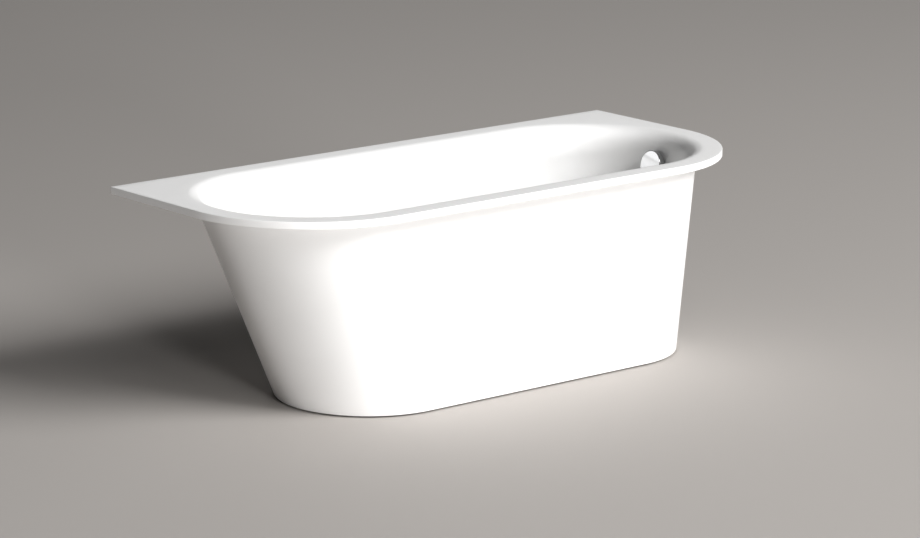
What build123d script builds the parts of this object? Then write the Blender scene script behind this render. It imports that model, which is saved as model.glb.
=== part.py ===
from build123d import *
import os
from math import cos, radians, sin, sqrt, tan

# A freestanding stone resin bath with a flat wide rim, a tapered one-piece skirt and a
# cable-worked pop-up waste. Millimetres. X runs along the bath towards the drain end, Y towards
# the wall behind it, Z up. The origin is on the floor under the middle of the rim.

# Rim slab
bath_length = 1700.0
bath_depth = 745.0
rim_thickness = 20.0
rim_flat = 50.0
rim_edge_radius = 2.0
roll_radius = 50.0

# Bathing space and the room under it for the waste and the frame
inside_depth = 420.0
space_under = 138.0
head_slope = 28.0
drain_slope = 14.5
side_slope = 7.0
cove_radius = 90.0
tub_wall = 12.0
tub_floor = 15.0

# Skirt
skirt_side_overhang = 72.0
skirt_end_overhang = 70.0
head_run_in = 240.0
drain_run_in = 46.5
side_run_in = 47.3
skirt_wall = 9.0
skirt_foot_radius = 2.0
floor_gap = 4.4
collar_depth = 30.0
lap_wall = 6.0
glue_gap = 0.3

# Support frame and levelling feet
rail_size = 30.0
rail_wall = 2.0
rail_offset = 110.0
rail_overhang = 32.0
pad_length = 60.0
pad_thickness = 6.0
pad_places = 5
cross_rails = 3
cross_rail_start = 80.0
cross_rail_to_waste = 210.0
feet_to_head_end = 470.0
feet_to_drain_end = 370.0
foot_radius = 25.0
foot_base = 8.0
foot_hub = 16.0
foot_hub_radius = 11.0
stem_radius = 6.0
stem_top_clearance = 12.0
foot_nut_size = 19.0
foot_nut_height = 12.0
lock_nut_height = 8.0

# Overflow and control knob
overflow_drop = 88.0
seat_wall = 10.0
overflow_hole_radius = 24.5
inner_seat_radius = 36.0
outer_seat_radius = 33.0
overflow_seal_thickness = 2.0
overflow_seal_radius = 31.0
housing_depth = 9.5
housing_radius = 27.0
housing_wall = 2.0
housing_back = 1.5
duct_width = 26.0
duct_length = 64.0
spigot_radius = 9.5
spigot_bore = 7.5
spigot_length = 15.0
hopper_depth = 20.0
hopper_height = 16.0
hose_drop = 80.0
flange_radius = 34.0
flange_thickness = 2.5
flange_tube_wall = 2.0
bridge_width = 12.0
flange_hub_radius = 8.0
flange_screw_place = 15.0
flange_screw_radius = 2.0
flange_screw_head = 3.5
boss_radius = 4.0
knob_radius = 38.5
knob_gap = 6.0
knob_height = 18.0
knob_wall = 3.0
knob_edge = 1.6
knob_hub_radius = 9.0
spindle_radius = 4.0
spindle_grip = 9.0
running_fit = 0.05
moving_gap = 0.3
grub_radius = 2.0
grub_key_radius = 2.6

# Control cable
drum_radius = 8.0
drum_rim = 2.0
drum_width = 5.5
wire_radius = 0.6
sheath_radius = 2.5
ferrule_radius = 3.0
ferrule_length = 14.0
ferrule_reach = 24.0
knob_turn = 90.0
cable_run = 36.0
sheath_radii = (24.0, 60.0, 90.0, 60.0, 60.0)

# Overflow hose
hose_radius = 12.0
hose_bend = 70.0
clip_band = 1.0
clip_width = 8.0
clip_inset = 3.0

# Waste and plug
waste_to_end = 380.0
waste_hole_radius = 25.5
recess_radius = 44.5
recess_depth = 3.0
waste_flange_radius = 43.0
waste_bore = 20.0
waste_tube_wall = 4.0
waste_tube_drop = 38.0
spider_height = 4.0
spider_arm = 3.0
spider_hub = 6.5
waste_seal_radius = 38.0
waste_seal_thickness = 3.0
body_collar_height = 12.0
body_flange_height = 4.0
body_radius = 31.0
body_bore = 27.0
body_height = 59.0
body_base = 3.0
inlet_drop = 27.0
inlet_reach = 62.0
dip_tube_radius = 20.0
dip_tube_bore = 17.5
dip_tube_length = 38.0
shelf_width = 14.0
shelf_height = 3.0
rod_guide_radius = 5.0
rod_guide_reach = 57.0
rod_radius = 1.5
plug_rise = 10.0
plug_stem_radius = 3.0
plug_cap_radius = 30.0
plug_cap_height = 4.0
plug_dome = 1.8
plug_seal_radius = 25.0
plug_seal_thickness = 2.0
wedge_rise = 5.0
wedge_low = 6.0
wedge_width = 8.0
wedge_tip = 2.0
wedge_ramp = 19.0
wedge_heel = 2.0
wedge_toe = 3.0
rod_end = 42.0

# Trap and outlet
cup_radius = 42.0
cup_wall = 3.0
cup_drop = 54.0
cup_nut_radius = 46.0
cup_nut_height = 11.0
cup_nut_lip = 2.5
cup_washer = 2.0
outlet_radius = 25.0
outlet_wall = 3.0
outlet_drop = 30.0
outlet_reach = 95.0
outlet_bend = 28.0
outlet_end = 1.5
stub_radius = 21.0
stub_length = 26.0
outlet_nut_radius = 29.0
outlet_nut_length = 14.0

# Worked out from the sizes above
basin_under = space_under
basin_floor = basin_under + tub_floor
rim_top = basin_floor + inside_depth
rim_under = rim_top - rim_thickness
half_length = bath_length / 2
half_depth = bath_depth / 2
waste_x = half_length - waste_to_end
foot_head_x = feet_to_head_end - half_length
foot_drain_x = half_length - feet_to_drain_end
cross_rail_span = waste_x - cross_rail_to_waste - foot_head_x - cross_rail_start
slider_travel = drum_radius * radians(knob_turn)
rail_top = basin_under - pad_thickness
rail_bottom = rail_top - rail_size
foot_nut_bottom = rail_bottom - foot_nut_height
seal_bottom = basin_under - waste_seal_thickness
body_bottom = seal_bottom - body_height
inlet_height = seal_bottom - inlet_drop
dip_tube_end = body_bottom - dip_tube_length
cup_bottom = body_bottom - cup_drop
outlet_height = body_bottom - outlet_drop
recess_floor = basin_floor - recess_depth
tube_bottom = recess_floor - waste_tube_drop
housing_front = -seat_wall - overflow_seal_thickness
housing_rear = housing_front - housing_depth
cable_level = housing_front - moving_gap - 1.0 - drum_width / 2
wedge_base = body_bottom + body_base + wedge_rise
rod_level = wedge_base + rod_radius + wedge_tip / 2


def cylinder(radius, bottom, top, x=0.0, y=0.0):
    """Upright cylinder between two heights."""
    return Pos(x, y, (bottom + top) / 2) * Cylinder(radius, top - bottom)


def tube(outer, bore, bottom, top, x=0.0, y=0.0):
    """Upright tube between two heights."""
    return cylinder(outer, bottom, top, x, y) - cylinder(bore, bottom, top, x, y)


def block(x_from, x_to, y_from, y_to, z_from, z_to):
    """Box between two corners."""
    middle = Pos((x_from + x_to) / 2, (y_from + y_to) / 2, (z_from + z_to) / 2)
    return middle * Box(x_to - x_from, y_to - y_from, z_to - z_from)


def hexagon(across_flats, bottom, top, x, y):
    """Upright hexagonal bar."""
    outline = RegularPolygon(across_flats / 2, 6, major_radius=False)
    return Pos(x, y, bottom) * extrude(outline, top - bottom)


def along_x(solid, x, y, z):
    """Turn a solid that stands on the XY plane so that it points along +X from a place."""
    return Pos(x, y, z) * Rot(0, 90, 0) * solid


def stadium(z, left, right, half):
    """Level outline with straight sides along X and a half circle at each end."""
    near, far = left + half, right - half
    edges = [
        Line((near, -half, z), (far, -half, z)),
        ThreePointArc((far, -half, z), (right, 0, z), (far, half, z)),
        Line((far, half, z), (near, half, z)),
        ThreePointArc((near, half, z), (left, 0, z), (near, -half, z)),
    ]
    return Face(Wire(edges))


def roll_setback(slope):
    """Level distance from the flat of the rim to where a sloping wall would meet its plane."""
    return roll_radius / tan(radians(45 + slope / 2))


def tub_end(z):
    """Inside X of the drain end wall, on the centre line, at a height."""
    edge = half_length - rim_flat - roll_setback(drain_slope)
    return edge - (rim_top - z) * tan(radians(drain_slope))


def tub_outline(z, outset=0.0):
    """Outline of the bathing space at a height, or of its casting further out."""
    drop = rim_top - z
    head = half_length - rim_flat - roll_setback(head_slope) - drop * tan(radians(head_slope))
    half = half_depth - rim_flat - roll_setback(side_slope) - drop * tan(radians(side_slope))
    return stadium(z, -head - outset, tub_end(z) + outset, half + outset)


def skirt_end(z, inset=0.0):
    """X of the drain end of the skirt, on the centre line, at a height."""
    share = (rim_under - z) / (rim_under - floor_gap)
    return half_length - skirt_end_overhang - drain_run_in * share - inset


def skirt_outline(z, inset=0.0):
    """Outline of the skirt at a height, or a line further in."""
    share = (rim_under - z) / (rim_under - floor_gap)
    head = half_length - skirt_end_overhang - head_run_in * share
    half = half_depth - skirt_side_overhang - side_run_in * share
    return stadium(z, -head + inset, skirt_end(z, inset), half - inset)


def gap_middle(z):
    """Middle of the hollow between the tub and the skirt at the drain end."""
    return (tub_end(z) + tub_wall + skirt_end(z, skirt_wall)) / 2


overflow_height = rim_top - overflow_drop
hose_top = overflow_height - hose_drop
slope_cos = cos(radians(drain_slope))
slope_sin = sin(radians(drain_slope))
overflow_plane = Plane(
    origin=(tub_end(overflow_height), 0, overflow_height),
    x_dir=(0, -1, 0),
    z_dir=(-slope_cos, 0, slope_sin),
)
hose_lean = gap_middle(hose_top) - gap_middle(hose_top - 1)
spigot_plane = Plane(
    origin=(gap_middle(hose_top), 0, hose_top),
    x_dir=(0, 1, 0),
    z_dir=(-hose_lean, 0, -1),
)


def at_overflow(across, up, out):
    """Point given across, up and out of the overflow seat."""
    return overflow_plane.from_local_coords(Vector(across, up, out))


def rim_slab():
    """Flat slab, square at the wall side and round at the two front corners."""
    centre = half_length - half_depth
    swing = half_depth * sqrt(0.5)
    edges = [
        Line((half_length, 0), (half_length, half_depth)),
        Line((half_length, half_depth), (-half_length, half_depth)),
        Line((-half_length, half_depth), (-half_length, 0)),
        ThreePointArc((-half_length, 0), (-centre - swing, -swing), (-centre, -half_depth)),
        Line((-centre, -half_depth), (centre, -half_depth)),
        ThreePointArc((centre, -half_depth), (centre + swing, -swing), (half_length, 0)),
    ]
    slab = Pos(0, 0, rim_under) * extrude(Face(Wire(edges)), rim_thickness)
    corners = slab.edges().filter_by(Axis.Z).sort_by(Axis.Y)[-2:]
    slab = fillet(corners, rim_edge_radius)
    layers = slab.edges().group_by(Axis.Z)
    return fillet(layers[0] + layers[-1], rim_edge_radius)


def bathing_space():
    """The hollow that holds the water, flared at the rim by the roll and coved at the floor."""
    space = loft([tub_outline(basin_floor), tub_outline(rim_top)], ruled=True)
    space = fillet(space.edges().group_by(Axis.Z)[0], cove_radius)
    lid = block(-half_length, half_length, -half_depth, half_depth, rim_top, rim_top + 2 * roll_radius)
    space = space + lid
    plate = space.faces().filter_by(Axis.Z).sort_by(Axis.Z)[1]
    return fillet(plate.inner_wires()[0].edges(), roll_radius)


def basin_and_rim():
    """Cast basin and rim in one piece, with a collar that the skirt laps."""
    collar_bottom = rim_under - collar_depth
    inset = lap_wall + glue_gap
    collar = loft([skirt_outline(collar_bottom, inset), skirt_outline(rim_under, inset)], ruled=True)
    shell_top = collar_bottom + collar_depth / 3
    shell = loft([tub_outline(basin_under, tub_wall), tub_outline(shell_top, tub_wall)], ruled=True)
    shell = fillet(shell.edges().group_by(Axis.Z)[0], cove_radius + tub_wall)
    basin = rim_slab() + collar + shell - bathing_space()
    seats = cylinder(inner_seat_radius, 0, 2 * seat_wall) + cylinder(
        overflow_hole_radius, -2 * tub_wall, 0
    )
    seats += cylinder(outer_seat_radius, -3 * seat_wall, -seat_wall)
    basin -= overflow_plane * seats
    basin -= cylinder(recess_radius, recess_floor, basin_floor + 1, waste_x)
    basin -= cylinder(waste_hole_radius, basin_under - 1, recess_floor, waste_x)
    return basin


def outer_skirt():
    """One-piece tapered skirt, thinned at the top where it laps the collar."""
    ledge = rim_under - collar_depth - glue_gap
    skirt = loft([skirt_outline(floor_gap), skirt_outline(rim_under)], ruled=True)
    hollow = loft([skirt_outline(floor_gap, skirt_wall), skirt_outline(ledge, skirt_wall)], ruled=True)
    lap = loft([skirt_outline(ledge, lap_wall), skirt_outline(rim_under, lap_wall)], ruled=True)
    skirt = skirt - hollow - lap
    foot = skirt.faces().sort_by(Axis.Z)[0].outer_wire().edges()
    return fillet(foot, skirt_foot_radius)


def cross_rail_places():
    """Where the cross rails stand along the bath."""
    pitch = cross_rail_span / (cross_rails - 1)
    return [foot_head_x + cross_rail_start + pitch * index for index in range(cross_rails)]


def foot_places():
    """The four levelling feet, head end first, front before wall side."""
    return [(x, y) for x in (foot_head_x, foot_drain_x) for y in (-rail_offset, rail_offset)]


def base_frame():
    """Welded frame of square tube: two long rails and three cross rails."""
    half, bore = rail_size / 2, rail_size / 2 - rail_wall
    start, end = foot_head_x - rail_overhang, foot_drain_x + rail_overhang
    middle = rail_top - half
    frame = Part()
    for y in (-rail_offset, rail_offset):
        frame += block(start, end, y - half, y + half, rail_bottom, rail_top)
    for x in cross_rail_places():
        frame += block(x - half, x + half, -rail_offset, rail_offset, rail_bottom, rail_top)
    for y in (-rail_offset, rail_offset):
        frame -= block(start, end, y - bore, y + bore, middle - bore, middle + bore)
    inner = rail_offset - half
    for x in cross_rail_places():
        frame -= block(x - bore, x + bore, -inner, inner, middle - bore, middle + bore)
    for x, y in foot_places():
        frame -= cylinder(stem_radius + moving_gap, rail_bottom - 1, rail_bottom + rail_wall + 1, x, y)
    return frame


def support_pads():
    """Rubber pads between the rails and the underside of the basin."""
    step = (foot_drain_x - foot_head_x) / (pad_places - 1)
    half = pad_length / 2
    pads = []
    for index in range(pad_places):
        x = foot_head_x + index * step
        for y in (-rail_offset, rail_offset):
            side = rail_size / 2
            pads.append(block(x - half, x + half, y - side, y + side, rail_top, basin_under))
    return Compound(children=pads)


def nut_group(height, top):
    """Four hexagonal nuts, one round each levelling stem."""
    nuts = []
    for x, y in foot_places():
        nut = hexagon(foot_nut_size, top - height, top, x, y)
        nuts.append(nut - cylinder(stem_radius + running_fit, top - height, top, x, y))
    return Compound(children=nuts)


def foot_stem(x, y):
    """Levelling screw, from its foot up into the rail."""
    stem = cylinder(stem_radius, foot_base, rail_top - stem_top_clearance, x, y)
    return chamfer(stem.edges().sort_by(Axis.Z)[-1], 1.0)


def foot_pad(x, y):
    """Round foot with a raised hub that holds the end of the screw."""
    pad = cylinder(foot_radius, 0, foot_base, x, y)
    pad = fillet(pad.edges().group_by(Axis.Z)[-1], 3.0)
    pad += cylinder(foot_hub_radius, foot_base, foot_hub, x, y)
    return pad - cylinder(stem_radius, foot_base, foot_hub, x, y)


def overflow_flange():
    """Ring that clamps on the inside of the tub, with a bridge and bearing for the knob."""
    ring = tube(flange_radius, overflow_hole_radius - 3.5, 0, flange_thickness)
    sleeve = overflow_hole_radius - 0.5
    ring += tube(sleeve, sleeve - flange_tube_wall, -seat_wall + 1, 0)
    reach = sleeve - flange_tube_wall / 2
    ring += block(-reach, reach, -bridge_width / 2, bridge_width / 2, 0, flange_thickness)
    ring += cylinder(flange_hub_radius, housing_front + 1, flange_thickness + 1)
    ring -= cylinder(spindle_radius + running_fit, housing_front, flange_thickness + 2)
    for x in (-flange_screw_place, flange_screw_place):
        ring -= cylinder(flange_screw_radius, -1, flange_thickness + 1, x)
    return overflow_plane * ring


def flange_screws():
    """Two pan head screws from the overflow ring into the housing."""
    screws = []
    tip = housing_rear + housing_back + 0.5
    for x in (-flange_screw_place, flange_screw_place):
        screw = cylinder(flange_screw_radius, tip, flange_thickness, x)
        head = cylinder(flange_screw_head, flange_thickness, flange_thickness + 2.2, x)
        head = fillet(head.edges().group_by(Axis.Z)[-1], 1.0)
        head -= block(x - 4, x + 4, -0.5, 0.5, flange_thickness + 1.2, flange_thickness + 3)
        screws.append(overflow_plane * (screw + head))
    return Compound(children=screws)


def overflow_seal():
    """Flat rubber ring between the outside of the tub and the housing."""
    return overflow_plane * tube(overflow_seal_radius, overflow_hole_radius, housing_front, -seat_wall)


def overflow_housing():
    """Slim cup behind the wall, with a flat duct down to a round spigot for the hose."""
    inner = housing_radius - housing_wall
    floor = housing_rear + housing_back
    duct = duct_width / 2
    cup = cylinder(housing_radius, housing_rear, housing_front)
    cup += cylinder(overflow_seal_radius, housing_front - housing_wall, housing_front)
    cup += block(-duct, duct, -duct_length, 0, housing_rear, housing_front)
    hopper = block(-duct, duct, -hopper_depth / 2, hopper_depth / 2, -hopper_height, 0)
    outlet = hopper + cylinder(spigot_radius, -1, spigot_length)
    housing = overflow_plane * cup + spigot_plane * outlet
    cavity = cylinder(inner, floor, housing_front + 1)
    cavity += block(
        -duct + housing_wall, duct - housing_wall, -duct_length + housing_wall, 0, floor,
        housing_front - housing_wall,
    )
    housing -= overflow_plane * cavity
    housing -= spigot_plane * cylinder(spigot_bore, -hopper_height + housing_wall, spigot_length + 1)
    bosses = Part()
    for x in (-flange_screw_place, flange_screw_place):
        bosses += cylinder(boss_radius, floor - 0.5, housing_front - 1, x)
    housing += overflow_plane * bosses
    for x in (-flange_screw_place, flange_screw_place):
        tip = housing_rear + housing_back + 0.5
        housing -= overflow_plane * cylinder(flange_screw_radius, tip, housing_front, x)
    ferrule_hole = Pos(-housing_radius, -drum_radius, cable_level) * Rot(0, 90, 0)
    housing -= overflow_plane * ferrule_hole * Cylinder(ferrule_radius, 12)
    return housing


def knob_spindle():
    """Round shaft from the cable drum through the overflow ring to the knob."""
    top = knob_gap + 2 + spindle_grip
    shaft = cylinder(spindle_radius, cable_level - drum_width / 2, top)
    return overflow_plane * chamfer(shaft.edges().sort_by(Axis.Z)[-1], 0.5)


def overflow_knob():
    """Round knob with a deep skirt, hollow behind, on a hub that grips the spindle."""
    top = knob_gap + knob_height
    knob = cylinder(knob_radius, knob_gap, top)
    knob = fillet(knob.edges().group_by(Axis.Z)[-1], knob_edge)
    knob -= cylinder(knob_radius - knob_wall, knob_gap, top - knob_wall)
    knob += cylinder(knob_hub_radius, knob_gap + 2, top - knob_wall)
    knob -= cylinder(spindle_radius, knob_gap, knob_gap + 2 + spindle_grip)
    grub_level = knob_gap + 2 + spindle_grip / 2
    radial = Pos(0, 0, grub_level) * Rot(90, 0, 0)
    knob -= radial * Pos(0, 0, knob_hub_radius) * Cylinder(grub_radius, 2 * (knob_hub_radius - spindle_radius))
    knob -= radial * Pos(0, 0, knob_radius) * Cylinder(grub_key_radius, 4 * knob_wall)
    return overflow_plane * knob


def knob_grub_screw():
    """Headless screw that clamps the knob on its spindle from below."""
    level = knob_gap + 2 + spindle_grip / 2
    length = knob_hub_radius - spindle_radius
    screw = Cylinder(grub_radius, length) - Pos(0, 0, length / 2) * Cylinder(grub_radius / 2, length / 2)
    middle = (knob_hub_radius + spindle_radius) / 2
    return overflow_plane * Pos(0, 0, level) * Rot(90, 0, 0) * Pos(0, 0, middle) * screw


def cable_drum():
    """Grooved drum on the inner end of the spindle that winds the control wire."""
    half = drum_width / 2
    low, high = cable_level - half, cable_level + half
    drum = cylinder(drum_radius + drum_rim, low, high)
    groove = tube(drum_radius + drum_rim + 1, drum_radius - wire_radius - 0.2, cable_level - 1, cable_level + 1)
    return overflow_plane * (drum - groove - cylinder(spindle_radius, low, high))


def upper_wire():
    """Bare control wire from the drum to the upper ferrule."""
    length = ferrule_reach
    wire = Cylinder(wire_radius, length)
    return overflow_plane * Pos(-length / 2, -drum_radius, cable_level) * Rot(0, 90, 0) * wire


def upper_ferrule():
    """End sleeve of the cable sheath, fixed in the side of the housing."""
    sleeve = Cylinder(ferrule_radius, ferrule_length)
    sleeve -= Pos(0, 0, ferrule_length / 2) * Cylinder(wire_radius, ferrule_length)
    sleeve -= Pos(0, 0, -ferrule_length / 2) * Cylinder(sheath_radius, ferrule_length)
    middle = ferrule_reach + ferrule_length / 2
    return overflow_plane * Pos(-middle, -drum_radius, cable_level) * Rot(0, 90, 0) * sleeve


def lower_ferrule():
    """End sleeve of the cable sheath at the waste."""
    sleeve = cylinder(ferrule_radius + 1, 0, ferrule_length)
    sleeve -= cylinder(rod_radius, 0, ferrule_length / 2)
    sleeve -= cylinder(sheath_radius, ferrule_length / 2, ferrule_length)
    return along_x(sleeve, waste_x + rod_guide_reach, 0, rod_level)


def sheath_route():
    """Corners of the control cable: out of the housing, down the hollow and along to the waste."""
    start = at_overflow(-ferrule_reach - ferrule_length / 2, -drum_radius, cable_level)
    turn_y = start.Y + cable_run
    below = rail_bottom - 6
    return [
        start,
        Vector(start.X, turn_y, start.Z),
        Vector(gap_middle(start.Z - 75) - 8, turn_y + 4, start.Z - 75),
        Vector(gap_middle(basin_under + 60) - 4, turn_y - 6, basin_under + 60),
        Vector(gap_middle(basin_under + 60) - 42, turn_y - 20, below),
        Vector(waste_x + inlet_reach + 75, 0, rod_level),
        Vector(waste_x + rod_guide_reach + ferrule_length / 2, 0, rod_level),
    ]


def bowden_sheath():
    """Outer cover of the control cable on straight runs joined by arcs."""
    route = FilletPolyline(*sheath_route(), radius=list(sheath_radii))
    end = Plane(origin=route @ 0, z_dir=route % 0)
    return sweep(end * Circle(sheath_radius), path=route)


def hose_route():
    """Centre line of the overflow hose: down the hollow, then level to the waste."""
    top = Vector(gap_middle(hose_top), 0, hose_top)
    fall = hose_top - inlet_height
    corner = Vector(top.X - hose_lean * fall, 0, inlet_height)
    end = Vector(waste_x + inlet_reach - spigot_length, 0, inlet_height)
    return FilletPolyline(top, corner, end, radius=hose_bend)


def overflow_hose():
    """Hose from the overflow housing to the side of the waste body."""
    route = hose_route()
    end = Plane(origin=route @ 0, z_dir=route % 0)
    section = Circle(hose_radius) - Circle(spigot_radius)
    return sweep(end * section, path=route)


def hose_clips():
    """Band clip at each end of the hose."""
    band = tube(hose_radius + clip_band, hose_radius, 0, clip_width)
    upper = spigot_plane * Pos(0, 0, clip_inset) * band
    lower = along_x(band, waste_x + inlet_reach - spigot_length + clip_inset, 0, inlet_height)
    return Compound(children=[upper, lower])


def waste_flange():
    """Drain ring with a threaded tube and a spider that guides the plug stem."""
    outer = waste_bore + waste_tube_wall
    ring = cylinder(waste_flange_radius, recess_floor, basin_floor)
    ring = fillet(ring.edges().group_by(Axis.Z)[-1], 1.2)
    ring += cylinder(outer, tube_bottom, recess_floor)
    ring -= cylinder(waste_bore, tube_bottom, basin_floor)
    seat = ring.edges().filter_by(GeomType.CIRCLE).group_by(Axis.Z)[-1].sort_by(SortBy.RADIUS)[0]
    ring = chamfer(seat, 1.8)
    spider = cylinder(spider_hub, tube_bottom, tube_bottom + spider_height)
    for index in range(3):
        arm = block(0, waste_bore + 1, -spider_arm / 2, spider_arm / 2, tube_bottom,
                    tube_bottom + spider_height)
        spider += Rot(0, 0, 120 * index + 60) * arm
    spider -= cylinder(plug_stem_radius + running_fit, tube_bottom, tube_bottom + spider_height)
    return Pos(waste_x, 0, 0) * (ring + spider)


def waste_seal():
    """Rubber ring between the underside of the basin and the waste body."""
    return tube(waste_seal_radius, waste_hole_radius, seal_bottom, basin_under, waste_x)


def waste_body():
    """Moulded body under the basin, with the overflow inlet, the slider shelf and a dip tube."""
    thread = waste_bore + waste_tube_wall
    body = cylinder(body_radius, body_bottom, seal_bottom)
    body += cylinder(waste_seal_radius, seal_bottom - body_flange_height, seal_bottom)
    body += along_x(cylinder(spigot_radius, 0, inlet_reach), 0, 0, inlet_height)
    body += along_x(cylinder(rod_guide_radius, 0, rod_guide_reach), 0, 0, rod_level)
    body += cylinder(cup_radius, body_bottom, body_bottom + body_base)
    body += cylinder(cup_radius - cup_wall - 1, body_bottom - cup_washer, body_bottom)
    body += cylinder(dip_tube_radius, dip_tube_end, body_bottom)
    body -= cylinder(body_bore, body_bottom + body_base, seal_bottom - body_collar_height)
    body -= cylinder(thread, body_bottom + body_base, seal_bottom)
    body -= cylinder(dip_tube_bore, dip_tube_end, body_bottom + body_base)
    body -= along_x(cylinder(spigot_bore, 0, inlet_reach), 0, 0, inlet_height)
    shelf_top = wedge_base - moving_gap
    half = shelf_width / 2
    shelf = block(-body_bore, body_bore, -half, half, shelf_top - shelf_height, shelf_top)
    body += shelf & cylinder(body_bore + 1, 0, seal_bottom)
    body -= along_x(cylinder(rod_radius + running_fit, 0, rod_guide_reach), 0, 0, rod_level)
    return Pos(waste_x, 0, 0) * body


def lift_slider():
    """Wedge and rod: the cable pulls it along X and its ramp raises the plug."""
    low = wedge_base + wedge_low
    slope = plug_rise / slider_travel
    ramp_start = wedge_tip - wedge_ramp
    outline = Polyline(
        (wedge_tip + wedge_toe, wedge_base),
        (wedge_tip + wedge_toe, low),
        (wedge_tip, low),
        (ramp_start, low + slope * wedge_ramp),
        (ramp_start - wedge_heel, low + slope * wedge_ramp),
        (ramp_start - wedge_heel, wedge_base),
        (wedge_tip + wedge_toe, wedge_base),
    )
    face = Plane.XZ * Face(Wire(outline.edges()))
    wedge = Pos(0, wedge_width / 2, 0) * extrude(face, wedge_width)
    rod = along_x(cylinder(rod_radius, 0, rod_end - wedge_tip), wedge_tip, 0, rod_level)
    return Pos(waste_x, 0, 0) * (wedge + rod)


def plug_tip_height():
    """Centre of the round end of the plug stem when it rests just clear of the ramp."""
    slope = plug_rise / slider_travel
    ramp_here = wedge_base + wedge_low + slope * wedge_tip
    return ramp_here + (plug_stem_radius + moving_gap) * sqrt(1 + slope * slope)


def plug_stem():
    """Stem with a round lower end that rides on the slider's ramp."""
    tip = plug_tip_height()
    top = basin_floor + moving_gap + plug_seal_thickness + plug_cap_height / 2
    stem = cylinder(plug_stem_radius, tip, top) + Pos(0, 0, tip) * Sphere(plug_stem_radius)
    return Pos(waste_x, 0, 0) * stem


def plug_seal():
    """Rubber disc under the plug cap."""
    bottom = basin_floor + moving_gap
    return tube(plug_seal_radius, plug_stem_radius, bottom, bottom + plug_seal_thickness, waste_x)


def plug_cap():
    """Round cap of the pop-up plug, slightly crowned."""
    bottom = basin_floor + moving_gap + plug_seal_thickness
    cap = cylinder(plug_cap_radius, bottom, bottom + plug_cap_height, waste_x)
    cap = fillet(cap.edges().group_by(Axis.Z)[-1], plug_dome)
    return cap - cylinder(plug_stem_radius, bottom, bottom + plug_cap_height / 2, waste_x)


def trap_cup():
    """Cup of the bottle trap, with a side stub for the outlet."""
    top = body_bottom - cup_washer
    cup = cylinder(cup_radius, cup_bottom, top)
    cup = fillet(cup.edges().group_by(Axis.Z)[0], 6.0)
    cup += along_x(cylinder(stub_radius, 0, cup_radius + stub_length), -cup_radius - stub_length, 0, outlet_height)
    cup -= cylinder(cup_radius - cup_wall, cup_bottom + cup_wall, top)
    bore = cylinder(stub_radius - cup_wall, 0, cup_radius + stub_length)
    cup -= along_x(bore, -cup_radius - stub_length, 0, outlet_height)
    return Pos(waste_x, 0, 0) * cup


def trap_washer():
    """Rubber washer between the waste body and the trap cup."""
    inner = cup_radius - cup_wall - 1
    return tube(cup_radius, inner, body_bottom - cup_washer, body_bottom, waste_x)


def trap_nut():
    """Ring nut that draws the trap cup up to the waste body."""
    seat = body_bottom + body_base
    nut = cylinder(cup_nut_radius, seat - cup_nut_height, seat + cup_nut_lip)
    nut -= cylinder(cup_radius, seat - cup_nut_height, seat)
    nut -= cylinder(body_radius, seat, seat + cup_nut_lip)
    return Pos(waste_x, 0, 0) * nut


def outlet_elbow():
    """Elbow from the trap down to the waste pipe in the floor."""
    bore = outlet_radius - outlet_wall
    x = waste_x - outlet_reach
    start = waste_x - cup_radius - outlet_nut_length / 2
    bend_x = x + outlet_bend
    bend_z = outlet_height - outlet_bend
    level = along_x(tube(outlet_radius, bore, 0, start - bend_x), bend_x, 0, outlet_height)
    ring = Torus(outlet_bend, outlet_radius) - Torus(outlet_bend, bore)
    reach = outlet_bend + outlet_radius
    quarter = block(-reach, 0, -reach, reach, 0, reach)
    bend = Pos(bend_x, 0, bend_z) * (Rot(90, 0, 0) * ring & quarter)
    return level + bend + tube(outlet_radius, bore, outlet_end, bend_z, x)


def outlet_nut():
    """Compression nut that joins the elbow to the trap stub."""
    start = waste_x - cup_radius - outlet_nut_length - 4
    return along_x(tube(outlet_nut_radius, outlet_radius, 0, outlet_nut_length), start, 0, outlet_height)


def parts():
    """Every node by name."""
    nodes = {
        "basin_and_rim": basin_and_rim(),
        "outer_skirt": outer_skirt(),
        "base_frame": base_frame(),
        "support_pads": support_pads(),
        "frame_nuts": nut_group(foot_nut_height, rail_bottom),
        "foot_lock_nuts": nut_group(lock_nut_height, foot_nut_bottom),
        "overflow_flange": overflow_flange(),
        "flange_screws": flange_screws(),
        "overflow_seal": overflow_seal(),
        "overflow_housing": overflow_housing(),
        "knob_spindle": knob_spindle(),
        "overflow_knob": overflow_knob(),
        "knob_grub_screw": knob_grub_screw(),
        "cable_drum": cable_drum(),
        "upper_wire": upper_wire(),
        "upper_ferrule": upper_ferrule(),
        "lower_ferrule": lower_ferrule(),
        "bowden_sheath": bowden_sheath(),
        "overflow_hose": overflow_hose(),
        "hose_clips": hose_clips(),
        "waste_flange": waste_flange(),
        "waste_seal": waste_seal(),
        "waste_body": waste_body(),
        "lift_slider": lift_slider(),
        "plug_stem": plug_stem(),
        "plug_seal": plug_seal(),
        "plug_cap": plug_cap(),
        "trap_cup": trap_cup(),
        "trap_washer": trap_washer(),
        "trap_nut": trap_nut(),
        "outlet_elbow": outlet_elbow(),
        "outlet_nut": outlet_nut(),
    }
    for index, (x, y) in enumerate(foot_places(), start=1):
        nodes[f"foot_{index}_stem"] = foot_stem(x, y)
        nodes[f"foot_{index}_pad"] = foot_pad(x, y)
    return nodes


os.makedirs("parts", exist_ok=True)
for name, solid in parts().items():
    export_step(solid, f"parts/{name}.step")
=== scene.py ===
import math

import bmesh
import bpy
import numpy as np
from mathutils import Matrix, Vector


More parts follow.
